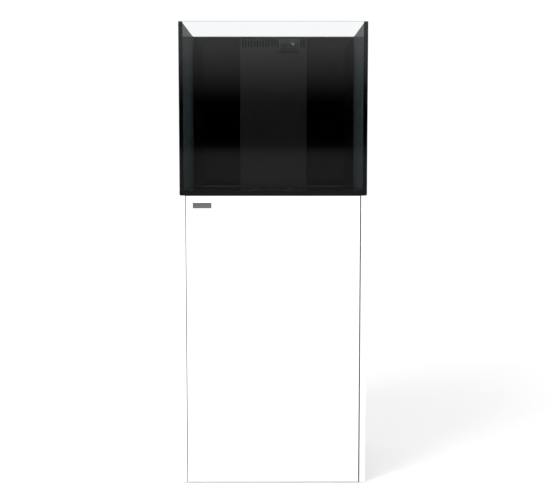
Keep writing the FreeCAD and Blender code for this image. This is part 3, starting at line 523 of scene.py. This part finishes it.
def deselect():
    """Leaves nothing selected, so that an operator acts only on the new piece."""
    if bpy.context.object and bpy.context.object.mode != "OBJECT":
        bpy.ops.object.mode_set(mode="OBJECT")
    bpy.ops.object.select_all(action="DESELECT")


def block(name, low, high):
    """A block between two corners, its place in its mesh, to be shaped further."""
    deselect()
    low, high = Vector(low), Vector(high)
    bpy.ops.mesh.primitive_cube_add(size=1.0, location=(low + high) / 2, scale=high - low)
    return settle(name)


def drum(name, radius, length, middle, turn, sides):
    """A round blank about a point, turned from upright, to be shaped further."""
    deselect()
    bpy.ops.mesh.primitive_cylinder_add(radius=radius, depth=length, vertices=sides, location=middle,
                                        rotation=turn)
    return settle(name)


def settle(name):
    """Names the new piece and puts its place, turn and size into its mesh."""
    bpy.ops.object.transform_apply(location=True, rotation=True, scale=True)
    piece = bpy.context.object
    piece.name = name
    piece.data.name = name
    return piece


def choose(piece, wanted):
    """Opens the piece for editing with the faces selected that the test picks."""
    deselect()
    piece.select_set(True)
    bpy.context.view_layer.objects.active = piece
    bpy.ops.object.mode_set(mode="EDIT")
    bpy.ops.mesh.select_mode(type="FACE")
    bpy.ops.mesh.select_all(action="DESELECT")
    bpy.ops.object.mode_set(mode="OBJECT")
    for face in piece.data.polygons:
        face.select = bool(wanted(face))
    bpy.ops.object.mode_set(mode="EDIT")


def inset(width, depth=0.0):
    """Draws a smaller outline inside the selected faces, sunk by depth."""
    bpy.ops.mesh.inset(thickness=width, depth=-depth)


def push(step):
    """Extrudes the selected faces along a step."""
    bpy.ops.mesh.extrude_region_move(TRANSFORM_OT_translate={"value": step})


def slice_across(piece, point, normal):
    """Cuts the whole piece along a plane without parting it."""
    choose(piece, lambda face: True)
    bpy.ops.mesh.bisect(plane_co=point, plane_no=normal)
    bpy.ops.object.mode_set(mode="OBJECT")


def soften(piece, width, segments=3, angle=ROUNDING_ANGLE):
    """Rounds the sharp edges and shades the piece smooth between them."""
    deselect()
    piece.select_set(True)
    bpy.context.view_layer.objects.active = piece
    bevel = piece.modifiers.new("bevel", "BEVEL")
    bevel.width = width
    bevel.segments = segments
    bevel.limit_method = "ANGLE"
    bevel.angle_limit = math.radians(angle)
    bevel.harden_normals = False
    bpy.ops.object.modifier_apply(modifier="bevel")
    bpy.ops.object.shade_smooth_by_angle(angle=math.radians(angle))


def finish(piece, material, body, slot, *nodes):
    """Gives the piece its material, its body and the nodes it stands for."""
    piece.data.materials.clear()
    piece.data.materials.append(material)
    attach(piece, body)
    if nodes:
        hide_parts(*nodes)


# ------------------------------------------------------------- shaped pieces

def return_nozzle():
    """The duck-bill nozzle: a flat body, its wide mouth, a channel above it, a waist, a neck and a ball."""
    low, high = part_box("return_nozzle")
    middle = (low.x + high.x) / 2
    ball = Vector((middle, high.y - BALL_RADIUS, low.z + BALL_RISE))
    rear = low.y + NOZZLE_DEPTH
    body = block("return_nozzle_body", low, (high.x, rear, high.z))
    choose(body, lambda face: face.normal.y > FACES_ALONG)
    inset(NOZZLE_EDGE)
    push((0.0, NOZZLE_WAIST, 0.0))
    narrow = 2 * NECK_RADIUS / (high.x - low.x - 2 * NOZZLE_EDGE)
    flat = 2 * NECK_RADIUS / (high.z - low.z - 2 * NOZZLE_EDGE)
    waist = (middle, rear + NOZZLE_WAIST, (low.z + high.z) / 2)
    bpy.ops.transform.resize(value=(narrow, 1.0, flat), center_override=waist)
    bpy.ops.transform.translate(value=(0.0, 0.0, ball.z - waist[2]))
    push((0.0, ball.y - BALL_RADIUS / 2 - rear - NOZZLE_WAIST, 0.0))
    bpy.ops.object.mode_set(mode="OBJECT")

    mouth_low = low.z + NOZZLE_LIP
    mouth_high = mouth_low + MOUTH_HEIGHT
    groove_low = mouth_high + GROOVE_RISE
    for level in (mouth_low, mouth_high, groove_low, groove_low + GROOVE_WIDTH):
        slice_across(body, (middle, low.y, level), UP)
    for side in (-MOUTH_HALF, MOUTH_HALF):
        slice_across(body, (middle + side, low.y, low.z), RIGHT)

    def in_front(face, bottom, top):
        centre = face.center
        return (face.normal.y < -FACES_ALONG and bottom < centre.z < top
                and abs(centre.x - middle) < MOUTH_HALF)

    choose(body, lambda face: in_front(face, mouth_low, mouth_high))
    push((0.0, MOUTH_DEPTH, 0.0))
    choose(body, lambda face: in_front(face, groove_low, groove_low + GROOVE_WIDTH))
    push((0.0, GROOVE_DEPTH, 0.0))
    soften(body, width=NOZZLE_ROUNDING)

    deselect()
    bpy.ops.mesh.primitive_uv_sphere_add(radius=BALL_RADIUS, location=ball, segments=BALL_FACES[0],
                                         ring_count=BALL_FACES[1])
    sphere = settle("ball")
    bpy.ops.object.shade_smooth()
    body.select_set(True)
    sphere.select_set(True)
    bpy.context.view_layer.objects.active = body
    bpy.ops.object.join()
    finish(body, nozzle_plastic(), "return_nozzle", "black_plastic", "return_nozzle")

    seat = Vector((middle + SCREW_ASIDE, low.y, ball.z + SCREW_ABOVE))
    screw = drum("nozzle_screw", radius=SCREW_RADIUS, length=SCREW_HEAD, middle=seat, turn=FACING_FRONT,
                 sides=DRUM_FACES)
    soften(screw, width=SCREW_ROUNDING, segments=4, angle=SCREW_ROUNDING_ANGLE)
    choose(screw, lambda face: face.normal.y < -FACES_ALONG and face.area > SCREW_RADIUS ** 2)
    inset(SCREW_RIM)
    inset(SCREW_RECESS_WALL, SCREW_RECESS)
    bpy.ops.object.mode_set(mode="OBJECT")
    finish(screw, polished_steel(), "return_nozzle", "steel")


def door_badge():
    """The plain badge: a thin plate with a raised rim round a sunk, brushed field."""
    low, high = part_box("door_badge")
    plate = block("door_badge_plate", low, high)
    choose(plate, lambda face: face.normal.y < -FACES_ALONG)
    inset(BADGE_RIM)
    inset(BADGE_SLOPE, BADGE_SUNK)
    bpy.ops.object.mode_set(mode="OBJECT")
    soften(plate, width=BADGE_SLOPE, segments=2)
    finish(plate, badge_metal(), "door", "badge_grey", "door_badge")


# ----------------------------------------------------------- stage and camera

def floor():
    """A pale floor that takes the soft shadow, with painted shade near the cabinet: darker near the middle
    and paler further away.
    """
    bpy.ops.object.select_all(action="DESELECT")
    bpy.ops.mesh.primitive_plane_add(size=FLOOR_SIZE, location=(0.0, 0.0, 0.0))
    plane = bpy.context.object
    plane.name = "studio_floor"
    m = Finish("studio_floor", colour=FLOOR_FAR, roughness=0.9)
    away = m.node("ShaderNodeVectorMath", operation="LENGTH")
    m.wire(m.place(), away.inputs[0])
    near, far = FLOOR_FADE
    fade = m.ramp(away.outputs["Value"], low=0.0, high=1.0, start=near, end=far)
    # Painted shade: the floor is darker near the cabinet, to deepen its shadow
    m.colour(m.blend(fade, FLOOR_PAINTED_SHADE, FLOOR_FAR))
    m.set("Specular IOR Level", 0.0)
    m.rough(m.ramp(m.noise(scale=5.0), low=0.88, high=0.95))
    plane.data.materials.append(m.material)
    plane.visible_glossy = False


def world():
    """White all round for the eye and for soft light. Reflections show it darker, and bright overhead."""
    made = bpy.data.worlds.new("studio")
    made.use_nodes = True
    bpy.context.scene.world = made
    tree = made.node_tree
    tree.nodes.clear()
    output = tree.nodes.new("ShaderNodeOutputWorld")
    light = tree.nodes.new("ShaderNodeBackground")
    light.inputs["Color"].default_value = (*WHITE, 1.0)
    light.inputs["Strength"].default_value = AMBIENT
    seen = tree.nodes.new("ShaderNodeBackground")
    seen.inputs["Color"].default_value = (*WHITE, 1.0)
    seen.inputs["Strength"].default_value = ROOM_SEEN
    mirrored = tree.nodes.new("ShaderNodeBackground")
    coordinates = tree.nodes.new("ShaderNodeTexCoord")
    split = tree.nodes.new("ShaderNodeSeparateXYZ")
    tree.links.new(coordinates.outputs["Generated"], split.inputs[0])
    ramp = tree.nodes.new("ShaderNodeValToRGB")
    ramp.color_ramp.interpolation = "LINEAR"
    lift = tree.nodes.new("ShaderNodeMath")
    lift.operation = "MULTIPLY_ADD"
    lift.inputs[1].default_value = HALF
    lift.inputs[2].default_value = HALF
    tree.links.new(split.outputs["Z"], lift.inputs[0])
    tree.links.new(lift.outputs[0], ramp.inputs["Fac"])
    stops = ramp.color_ramp.elements
    for position, value in MIRRORED:
        stop = stops.new(position)
        stop.color = (value, value, value, 1.0)
    stops.remove(stops[0])
    stops.remove(stops[-1])
    tree.links.new(ramp.outputs["Color"], mirrored.inputs["Color"])
    path = tree.nodes.new("ShaderNodeLightPath")
    first = tree.nodes.new("ShaderNodeMixShader")
    second = tree.nodes.new("ShaderNodeMixShader")
    tree.links.new(path.outputs["Is Glossy Ray"], first.inputs[0])
    tree.links.new(light.outputs[0], first.inputs[1])
    tree.links.new(mirrored.outputs[0], first.inputs[2])
    tree.links.new(path.outputs["Is Camera Ray"], second.inputs[0])
    tree.links.new(first.outputs[0], second.inputs[1])
    tree.links.new(seen.outputs[0], second.inputs[2])
    tree.links.new(second.outputs[0], output.inputs["Surface"])


def lamp(name, size, energy, place, target):
    """A soft square lamp that looks at a point."""
    data = bpy.data.lights.new(name, "AREA")
    data.shape = "SQUARE"
    data.size = size
    data.energy = energy
    made = bpy.data.objects.new(name, data)
    bpy.context.scene.collection.objects.link(made)
    made.location = place
    made.rotation_euler = (Vector(target) - Vector(place)).to_track_quat("-Z", "Y").to_euler()
    return made


def lights():
    """The key comes from the front left and above, so the shadow falls to the right and behind."""
    lamp("key", KEY_SIZE, KEY_POWER, KEY_PLACE, KEY_TARGET)


def camera():
    """The view a little below the rim."""
    data = bpy.data.cameras.new("camera")
    data.lens = LENS
    data.sensor_width = SENSOR_WIDTH
    data.sensor_fit = "HORIZONTAL"
    data.clip_end = SEEN_TO
    made = bpy.data.objects.new("camera", data)
    bpy.context.scene.collection.objects.link(made)
    made.location = (CAMERA_SIDE, FRONT_Y - CAMERA_BACK, CAMERA_HEIGHT)
    made.rotation_euler = (math.radians(90.0 - CAMERA_PITCH), 0.0, math.radians(-CAMERA_YAW))
    bpy.context.scene.camera = made


def show():
    """Plain tones, with nothing added by the view."""
    scene = bpy.context.scene
    scene.view_settings.view_transform = "Standard"
    scene.view_settings.look = "None"


camera()
show()
world()
lights()
floor()
finish_nodes()
return_nozzle()
door_badge()
